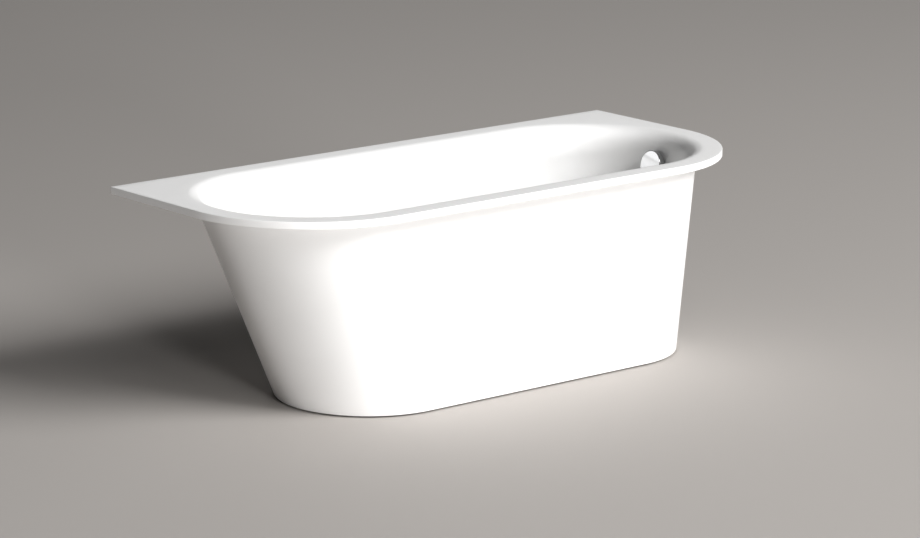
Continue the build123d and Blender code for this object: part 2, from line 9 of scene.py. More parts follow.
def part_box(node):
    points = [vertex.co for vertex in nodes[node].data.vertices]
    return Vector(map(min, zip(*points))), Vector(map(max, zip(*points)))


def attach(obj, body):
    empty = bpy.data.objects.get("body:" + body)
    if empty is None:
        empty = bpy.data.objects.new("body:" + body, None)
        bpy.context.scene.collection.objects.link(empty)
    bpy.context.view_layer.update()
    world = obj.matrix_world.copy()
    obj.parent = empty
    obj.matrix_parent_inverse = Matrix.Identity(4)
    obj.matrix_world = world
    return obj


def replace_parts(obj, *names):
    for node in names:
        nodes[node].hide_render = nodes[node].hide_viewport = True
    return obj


# A freestanding stone resin bath with its rim against a wall. Metres, X towards the drain end,
# Y towards the wall, Z up from the floor.

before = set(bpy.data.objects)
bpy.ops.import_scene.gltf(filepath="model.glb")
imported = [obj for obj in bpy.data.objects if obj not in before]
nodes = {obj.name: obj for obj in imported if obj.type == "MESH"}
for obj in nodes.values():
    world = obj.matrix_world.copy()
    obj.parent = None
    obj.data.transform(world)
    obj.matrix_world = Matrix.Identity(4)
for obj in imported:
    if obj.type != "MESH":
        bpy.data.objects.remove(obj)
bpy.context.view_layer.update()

# Rim slab
RIM_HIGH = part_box("basin_and_rim")[1]
HALF_LENGTH = RIM_HIGH.x
HALF_DEPTH = RIM_HIGH.y
RIM_TOP = RIM_HIGH.z
RIM_THICKNESS = 0.020
RIM_FLAT = 0.050
RIM_EDGE = 0.002
ROLL = 0.050

# Bathing space
INSIDE_DEPTH = 0.420
HEAD_SLOPE = math.radians(28.0)
DRAIN_SLOPE = math.radians(14.5)
SIDE_SLOPE = math.radians(7.0)
COVE = 0.090
TUB_WALL = 0.012
TUB_FLOOR = 0.015

# Skirt
SKIRT_SIDE_OVERHANG = 0.072
SKIRT_END_OVERHANG = 0.070
HEAD_RUN_IN = 0.240
DRAIN_RUN_IN = 0.0465
SIDE_RUN_IN = 0.0473
SKIRT_WALL = 0.009
SKIRT_EDGE = 0.002
COLLAR_DEPTH = 0.030
LAP_WALL = 0.006
GLUE_GAP = 0.0003

# Waste and overflow
WASTE_X = HALF_LENGTH - 0.380
WASTE_HOLE = 0.0255
RECESS_RADIUS = 0.0445
RECESS_DEPTH = 0.003
OVERFLOW_DROP = 0.088
SEAT_WALL = 0.010
OVERFLOW_HOLE = 0.0245
INNER_SEAT = 0.036
OUTER_SEAT = 0.033
KNOB_RADIUS = 0.0385
KNOB_GAP = 0.006
KNOB_HEIGHT = 0.018
KNOB_WALL = 0.003
KNOB_HUB = 0.009
GRUB_RADIUS = 0.002
GRUB_KEY_RADIUS = 0.0026
SPINDLE = 0.004
SPINDLE_GRIP = 0.009

# Overflow hose, from the overflow down beside the skirt to the waste body
HOSE_RADIUS = 0.012
HOSE_BORE = 0.0095
HOSE_BEND = 0.070
HOSE_CUFF = 0.022
HOSE_DROP = 0.080
HOSE_UNDER_BASIN = 0.030
HOSE_END_TO_WASTE = 0.047
BELLOWS_PITCH = 0.0045
BELLOWS_DEPTH = 0.0016
BELLOWS_FADE = 0.004

# Levelling screws, their nuts and feet
SCREW_PITCH = 0.00175
SCREW_DEPTH = 0.0009
SCREW_PLAIN = 0.009
SCREW_POINT = 0.0012
NUT_BORE = 0.00605
NUT_HALF = 0.0095
FOOT_HUB = 0.011
FOOT_HUB_TOP = 0.016
FOOT_SOCKET = 0.006
FOOT_PLATE = 0.008

# Ring nuts of the trap and the outlet: (radius, height) of the bore's steps, and finger ribs
TRAP_BORE = [(0.042, 0), (0.042, 0.011), (0.031, 0.011), (0.031, 0.0135)]
TRAP_RIBS = 40
OUTLET_BORE = [(0.025, 0), (0.025, 0.014)]
OUTLET_RIBS = 28
RIB_DEPTH = 0.0013

# Worked out from the sizes above
RIM_UNDER = RIM_TOP - RIM_THICKNESS
BASIN_FLOOR = RIM_TOP - INSIDE_DEPTH
BASIN_UNDER = BASIN_FLOOR - TUB_FLOOR
FLOOR_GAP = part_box("outer_skirt")[0].z


# Meshes

def faces_outwards(points, faces):
    """Whether a closed quad mesh has its normals outwards: the sum of signed cone volumes."""
    a, b, c, d = (points[faces[:, k]] for k in range(4))
    first = np.einsum("ij,ij->i", a, np.cross(b, c)).sum()
    second = np.einsum("ij,ij->i", a, np.cross(c, d)).sum()
    return first + second > 0


def grid_piece(name, points, body, material, wrap_rows=False, sharp=35.0):
    """A piece from points laid out as rows by columns. Columns always close on themselves; rows
    close as well where wrap_rows is true. Points that coincide, as at a pole, are merged."""
    rows, columns = points.shape[:2]
    index = np.arange(rows * columns).reshape(rows, columns)
    above = np.roll(index, -1, 0)
    if not wrap_rows:
        index, above = index[:-1], above[:-1]
    quads = np.stack([index, np.roll(index, -1, 1), np.roll(above, -1, 1), above], -1)
    quads = quads.reshape(-1, 4)
    flat = points.reshape(-1, 3)
    if not faces_outwards(flat, quads):
        quads = quads[:, ::-1]
    mesh = bpy.data.meshes.new(name)
    mesh.from_pydata(flat, [], quads.tolist())
    return finish_piece(name, mesh, body, material, sharp)


def finish_piece(name, mesh, body, material, sharp=35.0):
    """Merge doubled points, drop empty faces, smooth, and hang the mesh on its body."""
    work = bmesh.new()
    work.from_mesh(mesh)
    bmesh.ops.remove_doubles(work, verts=work.verts, dist=1e-6)
    bmesh.ops.dissolve_degenerate(work, edges=work.edges, dist=1e-7)
    work.to_mesh(mesh)
    work.free()
    mesh.validate()
    mesh.polygons.foreach_set("use_smooth", [True] * len(mesh.polygons))
    mesh.set_sharp_from_angle(angle=math.radians(sharp))
    mesh.materials.append(material)
    piece = bpy.data.objects.new(name, mesh)
    bpy.context.scene.collection.objects.link(piece)
    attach(piece, body)
    return piece


def turned(profile, columns=96):
    """Points of a turned shape: a list of (radius, height) pairs carried round the Z axis."""
    profile = np.array(profile, float)
    angle = np.linspace(0, 2 * math.pi, columns, endpoint=False)
    x = profile[:, :1] * np.cos(angle)
    y = profile[:, :1] * np.sin(angle)
    z = np.repeat(profile[:, 1:], columns, 1)
    return np.stack([x, y, z], -1)


def rounded(corner, before, after, radius, steps=5):
    """Points of an arc that rounds a profile's corner: a quadratic curve from a radius before it
    to a radius after it."""
    corner, before, after = (np.array(p, float) for p in (corner, before, after))
    start = corner + (before - corner) / np.linalg.norm(before - corner) * radius
    end = corner + (after - corner) / np.linalg.norm(after - corner) * radius
    t = np.linspace(0, 1, steps)[:, None]
    return [tuple(p) for p in (1 - t) ** 2 * start + 2 * t * (1 - t) * corner + t**2 * end]


def eased(profile, radius, closed=True):
    """A profile with every corner rounded by the same small radius."""
    count = len(profile)
    points = []
    for k, corner in enumerate(profile):
        if not closed and k in (0, count - 1):
            points.append(corner)
            continue
        points += rounded(corner, profile[k - 1], profile[(k + 1) % count], radius)
    return points


def placed(points, matrix):
    """Points moved by a 4 by 4 matrix."""
    m = np.array(matrix, float)
    return points @ m[:3, :3].T + m[:3, 3]


# Plan of the bath: one column of the mesh at each place round the outline

def outline_columns():
    """For each column, how far along the bath its centre lies (0 head, 1 drain) and the way it
    faces. Straight stretches face front or back; columns crowd at the two square corners."""
    straight = np.linspace(0, 1, 28, endpoint=False)
    front = np.linspace(-90, 0, 56, endpoint=False)
    back = np.concatenate([
        np.linspace(0, 44.6, 28, endpoint=False),
        np.linspace(44.6, 45.4, 12, endpoint=False),
        np.linspace(45.4, 90, 28, endpoint=False),
    ])
    share = [straight, np.ones(len(front) + len(back)), 1 - straight,
             np.zeros(len(back) + len(front))]
    facing = [np.full(len(straight), -90.0), front, back, np.full(len(straight), 90.0),
              90 + back, 270 + front]
    return np.concatenate(share), np.radians(np.concatenate(facing))


SHARE, FACING = outline_columns()
COS, SIN = np.cos(FACING), np.sin(FACING)


def ring(z, head, drain, half, swell=0.0):
    """Stadium outlines: straight sides along X and half circles at both ends. head and drain are
    the ends' X and half the half width; swell moves every point out along its facing."""
    head_centre, drain_centre = head + half, drain - half
    centre = head_centre * (1 - SHARE) + drain_centre * SHARE
    reach = half + swell
    z = np.broadcast_to(z, np.broadcast(z, centre, reach).shape)
    return np.stack(np.broadcast_arrays(centre + reach * COS, reach * SIN, z), -1)


def setback(slope):
    """Level distance from the flat rim to where a sloping wall would meet its plane."""
    return ROLL / math.tan(math.pi / 4 + slope / 2)


def tub_ring(z, swell=0.0):
    """Wall of the bathing space at a height: each end and side leans at its own slope."""
    drop = RIM_TOP - z
    edge = HALF_LENGTH - RIM_FLAT
    head = -(edge - setback(HEAD_SLOPE)) + drop * math.tan(HEAD_SLOPE)
    drain = edge - setback(DRAIN_SLOPE) - drop * math.tan(DRAIN_SLOPE)
    half = HALF_DEPTH - RIM_FLAT - setback(SIDE_SLOPE) - drop * math.tan(SIDE_SLOPE)
    return ring(z, head, drain, half, swell)


def skirt_ring(z, inset=0.0):
    """Outside of the skirt at a height, or a line further in."""
    share = (RIM_UNDER - z) / (RIM_UNDER - FLOOR_GAP)
    head = -(HALF_LENGTH - SKIRT_END_OVERHANG - HEAD_RUN_IN * share)
    drain = HALF_LENGTH - SKIRT_END_OVERHANG - DRAIN_RUN_IN * share
    half = HALF_DEPTH - SKIRT_SIDE_OVERHANG - SIDE_RUN_IN * share
    return ring(z, head, drain, half, -inset)


def wall_slope():
    """Slope of the wall at each column, from how far it moves in along its facing per metre."""
    high, low = tub_ring(np.array(RIM_TOP)), tub_ring(np.array(RIM_TOP - 1.0))
    moved = high - low
    return np.arctan(moved[:, 0] * COS + moved[:, 1] * SIN)


SLOPE = wall_slope()


def rim_ring(z, inset):
    """The rim's outline: round front corners, square back corners eased in plan."""
    reach = HALF_DEPTH - inset
    ease = max(RIM_EDGE - inset, 0.0)
    middle = reach - ease
    across = np.maximum(np.abs(COS), np.abs(SIN))
    along = middle * (np.abs(COS) + np.abs(SIN))
    root = np.sqrt(np.maximum(along**2 - 2 * middle**2 + ease**2, 0))
    corner = np.minimum(np.abs(COS), np.abs(SIN)) / across > middle / reach
    square = np.where(corner, along + root, reach / across)
    distance = np.where(SIN > 0, square, reach)
    centre = (2 * SHARE - 1) * (HALF_LENGTH - HALF_DEPTH)
    return np.stack([centre + distance * COS, distance * SIN, np.full(len(COS), z)], -1)


def between(first, last, count):
    """Rows spaced evenly between two rings, leaving out both."""
    t = np.linspace(0, 1, count + 2)[1:-1, None, None]
    return list(first * (1 - t) + last * t)


def roll_rows(steps=18):
    """The rolled edge, from the wall up to the flat: a circular arc in each column's own plane."""
    rows = []
    for k in np.linspace(1, 0, steps):
        turn = k * (math.pi / 2 - SLOPE)
        z = RIM_TOP - ROLL * (1 - np.cos(turn))
        back = ROLL / np.tan(math.pi / 4 + SLOPE / 2)
        rows.append(tub_ring(z, back - ROLL * np.sin(turn) + (RIM_TOP - z) * np.tan(SLOPE)))
    return rows


def cove_rows(floor, radius, outset, steps=18):
    """The cove between floor and wall, from the floor up: a circular arc in each column's plane."""
    rows = []
    for k in np.linspace(0, 1, steps):
        turn = k * (math.pi / 2 - SLOPE)
        z = floor + radius * (1 - np.cos(turn))
        back = radius * np.tan((math.pi / 2 - SLOPE) / 2)
        rows.append(tub_ring(z, outset - back + radius * np.sin(turn) - (z - floor) * np.tan(SLOPE)))
    return rows


def waste_ring(z, radius, toward):
    """A circle round the waste whose columns lie in the directions of another ring's columns."""
    angle = np.arctan2(toward[:, 1], toward[:, 0] - WASTE_X)
    return np.stack([WASTE_X + radius * np.cos(angle), radius * np.sin(angle),
                     np.full(len(angle), z)], -1)


def basin_surface():
    """Rim, bathing space, collar and underside as one closed sheet of rings: from the waste hole
    over the floor, up the wall, over the roll and rim, and back under to the hole."""
    recess = BASIN_FLOOR - RECESS_DEPTH
    inside = cove_rows(BASIN_FLOOR, COVE, 0.0)
    fillet, brim = 0.0006, 0.001
    seat = [(recess, WASTE_HOLE), (recess, RECESS_RADIUS - fillet), (recess + fillet, RECESS_RADIUS),
            (BASIN_FLOOR - brim, RECESS_RADIUS), (BASIN_FLOOR, RECESS_RADIUS + brim)]
    rows = [waste_ring(z, radius, inside[0]) for z, radius in seat]
    rows += between(rows[-1], inside[0], 8) + inside
    roll = roll_rows()
    rows += between(inside[-1], roll[0], 14) + roll
    for k in np.linspace(0, 1, 7):
        turn = k * math.pi / 2
        edge = rim_ring(RIM_TOP - RIM_EDGE * (1 - math.cos(turn)), RIM_EDGE * (1 - math.sin(turn)))
        if k == 0:
            rows += between(rows[-1], edge, 4)
        rows.append(edge)
    for k in np.linspace(1, 0, 7):
        turn = k * math.pi / 2
        rows.append(rim_ring(RIM_UNDER + RIM_EDGE * (1 - math.cos(turn)), RIM_EDGE * (1 - math.sin(turn))))
    collar_bottom = RIM_UNDER - COLLAR_DEPTH
    inset = LAP_WALL + GLUE_GAP
    collar = skirt_ring(np.array(RIM_UNDER), inset)
    rows += between(rows[-1], collar, 3)
    rows += [collar, skirt_ring(np.array(collar_bottom), inset)]
    outside = cove_rows(BASIN_UNDER, COVE + TUB_WALL, TUB_WALL)[::-1]
    shell = tub_ring(np.array(collar_bottom), TUB_WALL)
    rows += [shell] + between(shell, outside[0], 10) + outside
    hole = waste_ring(BASIN_UNDER, WASTE_HOLE, outside[-1])
    rows += between(outside[-1], hole, 6) + [hole]
    return np.stack(rows)


def overflow_matrix():
    """Frame on the overflow seat: X to the front, Y up the wall, Z into the bathing space."""
    z = RIM_TOP - OVERFLOW_DROP
    x = HALF_LENGTH - RIM_FLAT - setback(DRAIN_SLOPE) - OVERFLOW_DROP * math.tan(DRAIN_SLOPE)
    out = Vector((-math.cos(DRAIN_SLOPE), 0, math.sin(DRAIN_SLOPE)))
    side = Vector((0, -1, 0))
    up = out.cross(side)
    turn = Matrix((side, up, out)).transposed().to_4x4()
    return Matrix.Translation((x, 0, z)) @ turn


OVERFLOW = overflow_matrix()


def cut(piece, points):
    """Take a closed turned shape out of a piece, and keep the result as its mesh."""
    rows, columns = points.shape[:2]
    index = np.arange(rows * columns).reshape(rows, columns)
    quads = np.stack([index[:-1], np.roll(index[:-1], -1, 1), np.roll(index[1:], -1, 1), index[1:]], -1)
    mesh = bpy.data.meshes.new("tool")
    mesh.from_pydata(points.reshape(-1, 3), [], quads.reshape(-1, 4).tolist())
    work = bmesh.new()
    work.from_mesh(mesh)
    bmesh.ops.remove_doubles(work, verts=work.verts, dist=1e-6)
    bmesh.ops.recalc_face_normals(work, faces=work.faces)
    work.to_mesh(mesh)
    work.free()
    tool = bpy.data.objects.new("tool", mesh)
    bpy.context.scene.collection.objects.link(tool)
    step = piece.modifiers.new("cut", "BOOLEAN")
    step.operation = "DIFFERENCE"
    step.solver = "EXACT"
    step.object = tool
    graph = bpy.context.evaluated_depsgraph_get()
    result = bpy.data.meshes.new_from_object(piece.evaluated_get(graph), depsgraph=graph)
    piece.modifiers.remove(step)
    old = piece.data
    piece.data = result
    bpy.data.meshes.remove(old)
    bpy.data.objects.remove(tool)
    result.set_sharp_from_angle(angle=math.radians(35))
    return piece


def stone_basin(material):
    """Basin and rim casting, with the overflow hole and its two flat seats."""
    piece = grid_piece("stone_basin", basin_surface(), "bath", material, wrap_rows=True)
    seats = [(0, 2 * SEAT_WALL), (INNER_SEAT, 2 * SEAT_WALL), (INNER_SEAT, 0), (OVERFLOW_HOLE, 0),
             (OVERFLOW_HOLE, -SEAT_WALL), (OUTER_SEAT, -SEAT_WALL), (OUTER_SEAT, -3 * SEAT_WALL),
             (0, -3 * SEAT_WALL)]
    cut(piece, placed(turned(seats, 96), OVERFLOW))
    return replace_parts(piece, "basin_and_rim")


def stone_skirt(material):
    """Skirt casting: straight tapering walls, thinned at the top where it laps the collar."""
    ledge = RIM_UNDER - COLLAR_DEPTH - GLUE_GAP
    rows = []
    for k in np.linspace(0, 1, 6):
        turn = k * math.pi / 2
        z = FLOOR_GAP + SKIRT_EDGE * (1 - math.sin(turn))
        rows.append(skirt_ring(np.array(z), SKIRT_EDGE * (1 - math.cos(turn))))
    rows = rows[::-1]
    top = skirt_ring(np.array(RIM_UNDER))
    rows += between(rows[-1], top, 20) + [top, skirt_ring(np.array(RIM_UNDER), LAP_WALL)]
    rows += [skirt_ring(np.array(ledge), LAP_WALL), skirt_ring(np.array(ledge), SKIRT_WALL)]
    foot = skirt_ring(np.array(FLOOR_GAP), SKIRT_WALL)
    rows += between(rows[-1], foot, 12) + [foot]
    piece = grid_piece("stone_skirt", np.stack(rows), "bath", material, wrap_rows=True)
    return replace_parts(piece, "outer_skirt")


def knob(material):
    """Turned knob: crisp round face, deep skirt, hollow behind, hub on the spindle."""
    top = KNOB_GAP + KNOB_HEIGHT
    hub_low = KNOB_GAP + 0.002
    hub_deep = hub_low + SPINDLE_GRIP
    profile = [(KNOB_RADIUS, top), (KNOB_RADIUS, KNOB_GAP), (KNOB_RADIUS - KNOB_WALL, KNOB_GAP),
               (KNOB_RADIUS - KNOB_WALL, top - KNOB_WALL), (KNOB_HUB, top - KNOB_WALL),
               (KNOB_HUB, hub_low), (SPINDLE, hub_low), (SPINDLE, hub_deep)]
    face = [(0.0, top), (KNOB_RADIUS - 0.003, top), (KNOB_RADIUS - 0.0022, top)]
    face += rounded(profile[0], (0, top), profile[1], 0.0019, 9)
    inner = eased(profile[:-1], 0.0004)[5:]
    points = face + inner + [(SPINDLE, hub_deep), (0.0, hub_deep)]
    piece = grid_piece("knob", placed(turned(points, 160), OVERFLOW), "knob", material)
    level = hub_low + SPINDLE_GRIP / 2
    down = OVERFLOW @ Matrix.Translation((0, 0, level)) @ Matrix.Rotation(math.pi / 2, 4, "X")
    for radius, near, far in ((GRUB_RADIUS, SPINDLE / 2, KNOB_HUB + 0.004),
                              (GRUB_KEY_RADIUS, KNOB_RADIUS - 2 * KNOB_WALL, KNOB_RADIUS + KNOB_WALL)):
        hole = turned([(0, near), (radius, near), (radius, far), (0, far)], 32)
        cut(piece, placed(hole, down))
    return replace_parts(piece, "overflow_knob")


def plug(material):
    """Plug cap: a low crowned disc with a soft edge."""
    low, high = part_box("plug_cap")
    radius = (high.x - low.x) / 2
    height = high.z - low.z
    crown = [(radius * math.sin(a), height - 0.0012 * math.sin(a) ** 2) for a in np.linspace(0, 1.4, 24)]
    edge = rounded((radius, height - 0.0012), (radius * 0.9, height - 0.0011), (radius, 0), 0.0014, 7)
    crown = [p for p in crown if p[0] < radius - 0.0015]
    profile = crown + edge + [(radius, 0.0006), (radius - 0.0006, 0), (0.0, 0.0)]
    points = turned(profile, 128) + np.array([WASTE_X, 0, low.z])
    piece = grid_piece("plug_top", points, "plug", material)
    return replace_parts(piece, "plug_cap")


def ridged_turn(profile, ridges, depth):
    """Points of a turned shape whose third profile value, 0 to 1, is how far grooves round it bite:
    r - depth * bite * (0.5 - 0.5 cos(ridges * angle))."""
    profile = np.array(profile, float)
    angle = np.linspace(0, 2 * math.pi, ridges * 8, endpoint=False)
    wave = 0.5 - 0.5 * np.cos(ridges * angle)
    radius = profile[:, :1] - depth * profile[:, 2:] * wave
    z = np.repeat(profile[:, 1:2], len(angle), 1)
    return np.stack([radius * np.cos(angle), radius * np.sin(angle), z], -1)


def threaded_stem(name, body, material):
    """Levelling screw with one helical groove and a chamfered top. The surface is
    r(angle, z) = R - depth * clip(1.5 - 4 * abs(phase - 0.5), 0, 1), with
    phase = fraction(z / pitch - angle / 2 pi)."""
    low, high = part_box(name)
    x, y = (low.x + high.x) / 2, (low.y + high.y) / 2
    radius = (high.x - low.x) / 2
    count = 32
    z = np.arange(low.z + SCREW_PLAIN, high.z - SCREW_POINT, SCREW_PITCH / 8)
    angle = np.linspace(0, 2 * math.pi, count, endpoint=False)
    phase = (z[:, None] / SCREW_PITCH - angle[None] / (2 * math.pi)) % 1
    bite = np.clip(1.5 - np.abs(phase - 0.5) * 4, 0, 1)
    fade = np.clip(np.minimum(z - z[0], z[-1] - z) / (2 * SCREW_PITCH), 0, 1)[:, None]
    def plain(value):
        return np.full((1, count), value)
    r = np.concatenate([plain(0.0), plain(radius), radius - SCREW_DEPTH * bite * fade,
                        plain(radius - 0.001), plain(0.0)])
    heights = np.concatenate([[low.z, low.z], z, [high.z, high.z]])
    points = np.stack([x + r * np.cos(angle), y + r * np.sin(angle),
                       np.repeat(heights[:, None], count, 1)], -1)
    piece = grid_piece(name + "_thread", points, body, material, sharp=60)
    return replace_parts(piece, name)


def nut_rows(rise, count):
    """Radius and height of a chamfered hexagonal nut's rings: at each level the outline is the
    smaller of the hexagon and the chamfer's circle. The first and last rings line the bore."""
    angle = np.linspace(0, 2 * math.pi, count, endpoint=False)
    hexagon = NUT_HALF / np.cos((angle + math.pi / 6) % (math.pi / 3) - math.pi / 6)
    corner = NUT_HALF / math.cos(math.pi / 6)
    circles = [NUT_HALF - 0.0004, NUT_HALF + 0.0002, NUT_HALF + 0.0008, corner]
    half = [np.full(count, NUT_BORE), np.full(count, NUT_BORE + 0.0006)]
    half += [np.minimum(hexagon, circle) for circle in circles]
    levels = [0.0006, 0, 0, 0.0004, 0.0009, 0.0015]
    return np.array(half + half[::-1]), np.array(levels + [rise - v for v in levels[::-1]])


def hex_nuts(name, node, material):
    """The four nuts on the levelling screws, as one piece, placed by the node's box."""
    low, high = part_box(node)
    count = 96
    r, level = nut_rows(high.z - low.z, count)
    angle = np.linspace(0, 2 * math.pi, count, endpoint=False)
    corner = NUT_HALF / math.cos(math.pi / 6)
    index = np.arange(r.size).reshape(r.shape)
    above = np.roll(index, -1, 0)
    ring_quads = np.stack([index, np.roll(index, -1, 1), np.roll(above, -1, 1), above], -1)
    points, quads = [], []
    for x in (low.x + NUT_HALF, high.x - NUT_HALF):
        for y in (low.y + corner, high.y - corner):
            quads.append(ring_quads.reshape(-1, 4) + len(points) * r.size)
            ring_points = np.stack([x + r * np.cos(angle), y + r * np.sin(angle),
                                    np.repeat(low.z + level[:, None], count, 1)], -1)
            points.append(ring_points.reshape(-1, 3))
    points, quads = np.concatenate(points), np.concatenate(quads)
    if not faces_outwards(points, quads):
        quads = quads[:, ::-1]
    mesh = bpy.data.meshes.new(name)
    mesh.from_pydata(points, [], quads.tolist())
    piece = finish_piece(name, mesh, "bath", material, 30)
    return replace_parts(piece, node)


def foot_disc(name, body, material):
    """Round foot with a ribbed hub round the screw's socket and an eased rim."""
    low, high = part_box(name)
    x, y = (low.x + high.x) / 2, (low.y + high.y) / 2
    radius = (high.x - low.x) / 2
    edge = 0.003
    profile = [(0.0, 0.0, 0), (radius - 0.001, 0.0, 0), (radius, 0.001, 0)]
    profile += [(radius - edge * (1 - math.cos(a)), FOOT_PLATE - edge + edge * math.sin(a), 0)
                for a in np.linspace(0, math.pi / 2, 8)]
    profile += [(FOOT_HUB + 0.0015, FOOT_PLATE + 0.0004, 0), (FOOT_HUB, FOOT_PLATE + 0.0012, 0),
                (FOOT_HUB, FOOT_PLATE + 0.0016, 0), (FOOT_HUB, FOOT_PLATE + 0.0022, 1),
                (FOOT_HUB, FOOT_HUB_TOP - 0.001, 1), (FOOT_HUB, FOOT_HUB_TOP - 0.0006, 0),
                (FOOT_HUB - 0.0004, FOOT_HUB_TOP, 0), (FOOT_SOCKET + 0.0003, FOOT_HUB_TOP, 0),
                (FOOT_SOCKET, FOOT_HUB_TOP - 0.0003, 0), (FOOT_SOCKET, FOOT_PLATE, 0),
                (0.0, FOOT_PLATE, 0)]
    points = ridged_turn(profile, 12, 0.0008) + np.array([x, y, low.z])
    piece = grid_piece(name + "_disc", points, body, material)
    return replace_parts(piece, name)


def ring_nut(name, node, centre, axis, material, bore, ribs):
    """Moulded ring nut with finger ribs. centre and axis place its low face; bore holds (radius,
    height) steps of the inside from the low face up."""
    low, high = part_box(node)
    size = high - low
    along = max(range(3), key=lambda k: abs(axis[k]))
    rise = size[along]
    radius = max(size[k] for k in range(3) if k != along) / 2
    ease, plain, run_out = 0.0012, 0.002, 0.0028
    profile = [(bore[0][0], 0, 0), (radius - ease, 0, 0), (radius, ease, 0), (radius, plain, 0),
               (radius, run_out, 1), (radius, rise - run_out, 1), (radius, rise - plain, 0),
               (radius, rise - ease, 0), (radius - ease, rise, 0), (bore[-1][0], rise, 0)]
    profile += [(r, z, 0) for r, z in bore[::-1]]
    turn = Vector((0, 0, 1)).rotation_difference(Vector(axis)).to_matrix().to_4x4()
    points = placed(ridged_turn(profile, ribs, RIB_DEPTH), Matrix.Translation(centre) @ turn)
    piece = grid_piece(name, points, "bath", material, wrap_rows=True)
    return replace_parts(piece, node)


def hose_places():
    """Ends and corner of the hose's centre line in the XZ plane. Beside the skirt it runs midway
    between the tub's outside and the skirt's inside; under the basin it runs level."""
    def middle(z):
        share = (RIM_UNDER - z) / (RIM_UNDER - FLOOR_GAP)
        tub = (HALF_LENGTH - RIM_FLAT - setback(DRAIN_SLOPE) - (RIM_TOP - z) * math.tan(DRAIN_SLOPE)
               + TUB_WALL)
        skirt = HALF_LENGTH - SKIRT_END_OVERHANG - SKIRT_WALL - DRAIN_RUN_IN * share
        return (tub + skirt) / 2
    high = RIM_TOP - OVERFLOW_DROP - HOSE_DROP
    level = BASIN_UNDER - HOSE_UNDER_BASIN
    return (Vector((middle(high), 0, high)), Vector((middle(level), 0, level)),
            Vector((WASTE_X + HOSE_END_TO_WASTE, 0, level)))


def hose_path(count):
    """Points and headings along the hose's centre line, and how far along it each lies: a sloping
    run, an arc and a level run."""
    top, corner, end = hose_places()
    first, second = (corner - top).normalized(), (end - corner).normalized()
    half = math.acos(first.dot(second)) / 2
    lead = HOSE_BEND * math.tan(half)
    down, level = (corner - top).length - lead, (end - corner).length - lead
    arc = 2 * half * HOSE_BEND
    bend_start = top + first * down
    inwards = (second - first * first.dot(second)).normalized()
    along = np.linspace(0, down + arc + level, count)
    path, heading = [], []
    for value in along:
        if value < down:
            path.append(top + first * value)
            heading.append(first)
        elif value < down + arc:
            turn = (value - down) / HOSE_BEND
            path.append(bend_start + first * HOSE_BEND * math.sin(turn)
                        + inwards * HOSE_BEND * (1 - math.cos(turn)))
            heading.append(first * math.cos(turn) + inwards * math.sin(turn))
        else:
            path.append(corner + second * (value - down - arc + lead))
            heading.append(second)
    return np.array(path), np.array(heading), along


def corrugated_hose(material):
    """Overflow hose with bellows: its radius is R - depth * (0.5 - 0.5 cos(2 pi s / pitch)) at s
    along it, away from the plain cuffs at both ends."""
    path, heading, along = hose_path(900)
    ripple = 0.5 - 0.5 * np.cos(2 * math.pi * along / BELLOWS_PITCH)
    from_end = np.minimum(along, along[-1] - along)
    radius = HOSE_RADIUS - BELLOWS_DEPTH * ripple * np.clip((from_end - HOSE_CUFF) / BELLOWS_FADE, 0, 1)
    angle = np.linspace(0, 2 * math.pi, 32, endpoint=False)[None, :, None]
    across = np.array([0.0, 1.0, 0.0])
    other = np.cross(heading, across)[:, None]
    circle = across[None, None] * np.cos(angle) + other * np.sin(angle)
    skin = path[:, None] + radius[:, None, None] * circle
    inner = (path[:, None] + HOSE_BORE * circle)[::-12]
    piece = grid_piece("hose_bellows", np.concatenate([skin, inner]), "bath", material,
                       wrap_rows=True, sharp=60)
    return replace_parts(piece, "overflow_hose")


# Materials

